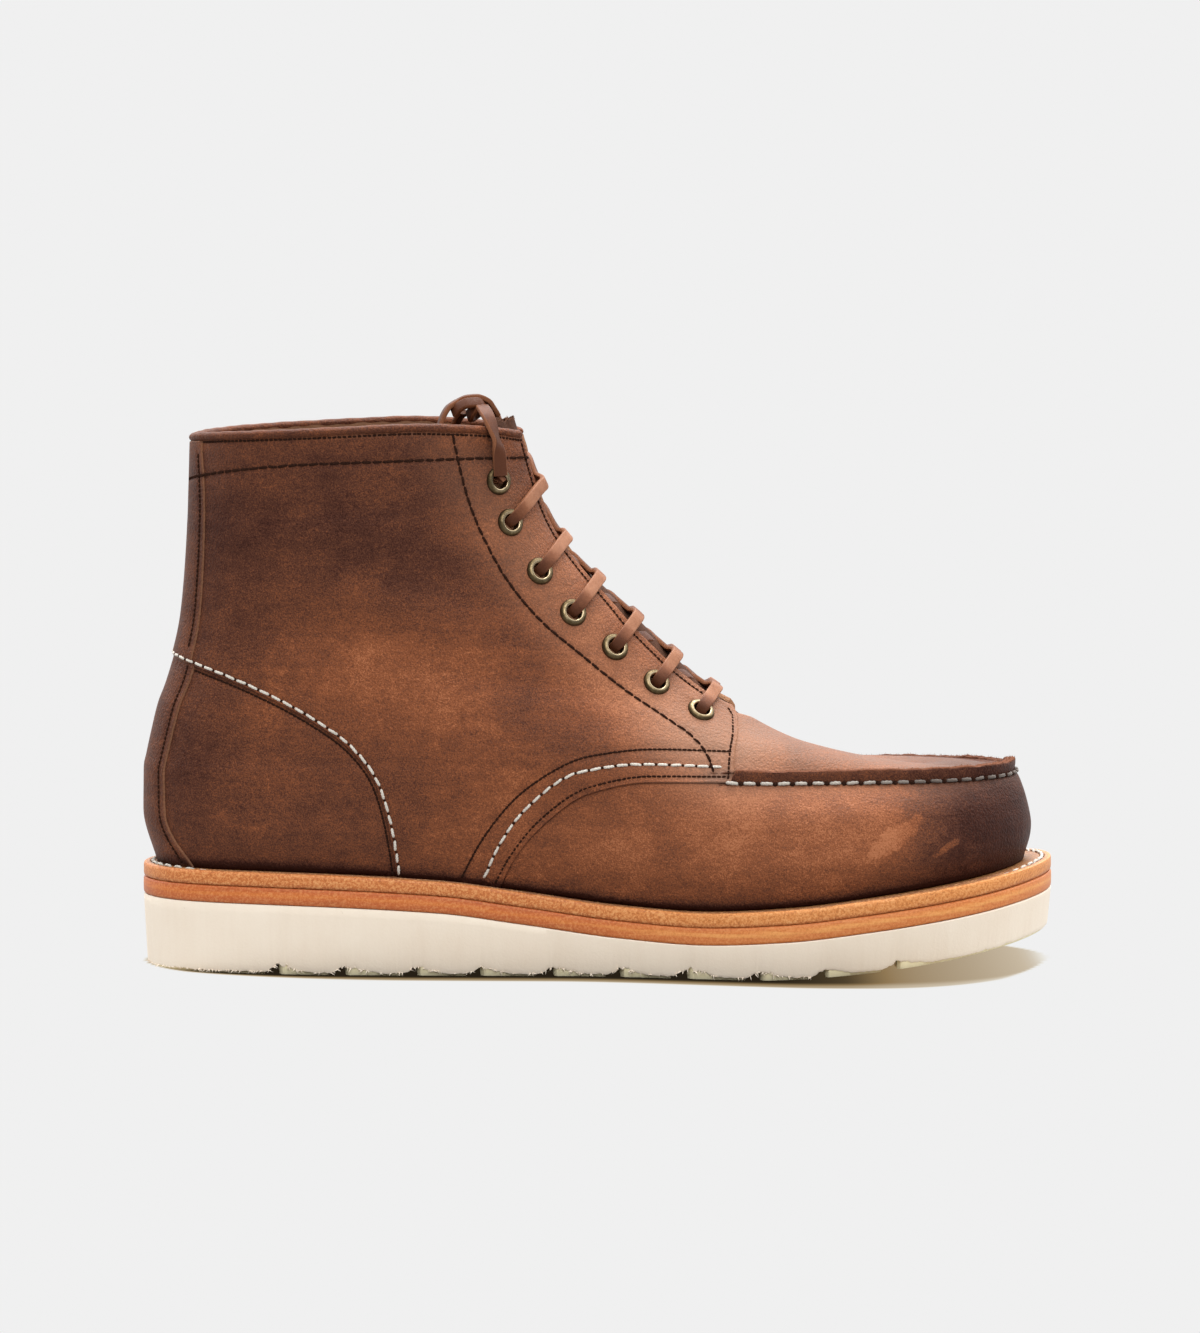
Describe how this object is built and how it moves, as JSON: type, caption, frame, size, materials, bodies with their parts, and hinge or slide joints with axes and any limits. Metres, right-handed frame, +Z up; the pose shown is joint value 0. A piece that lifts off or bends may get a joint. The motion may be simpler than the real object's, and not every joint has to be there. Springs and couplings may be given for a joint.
{
  "type": "moc toe work boot",
  "caption": "Lace-up moc toe work boot for the right foot: hollow leather upper with a raised toe seam, welted to a leather midsole on a rubber wedge sole with cross grooves.",
  "frame": {"origin": "middle of the box around the boot without the free lace, on the plane that the sole stands on", "axes": "+X to the toe, +Y to the inner (medial) side, +Z up"},
  "size_m": [0.305, 0.1084, 0.1912],
  "materials": {
    "outsole": "matt cream rubber",
    "midsole": "waxed cut edge",
    "welt": "waxed cut edge",
    "insole": "natural leather",
    "upper": "oiled pull-up leather",
    "tongue": "oiled leather",
    "eyelet": "antique brass",
    "lace": "flat cut leather lace"
  },
  "bodies": {
    "root": {"outsole": "outsole", "midsole": "midsole", "welt": "welt", "insole": "insole", "upper": "upper", "tongue": "tongue", "eyelet_lateral_1": "eyelet", "eyelet_lateral_2": "eyelet", "eyelet_lateral_3": "eyelet", "eyelet_lateral_4": "eyelet", "eyelet_lateral_5": "eyelet", "eyelet_lateral_6": "eyelet", "eyelet_lateral_7": "eyelet", "eyelet_medial_1": "eyelet", "eyelet_medial_2": "eyelet", "eyelet_medial_3": "eyelet", "eyelet_medial_4": "eyelet", "eyelet_medial_5": "eyelet", "eyelet_medial_6": "eyelet", "eyelet_medial_7": "eyelet", "lace_crossing_1": "lace", "lace_crossing_2": "lace", "lace_crossing_3": "lace", "lace_crossing_4": "lace", "lace_crossing_5": "lace", "lace_crossing_6": "lace", "lace_tie_lateral": "lace", "lace_tie_medial": "lace", "lace_knot": "lace", "lace_end_lateral": "lace", "lace_end_medial": "lace"}
  },
  "joints": []
}
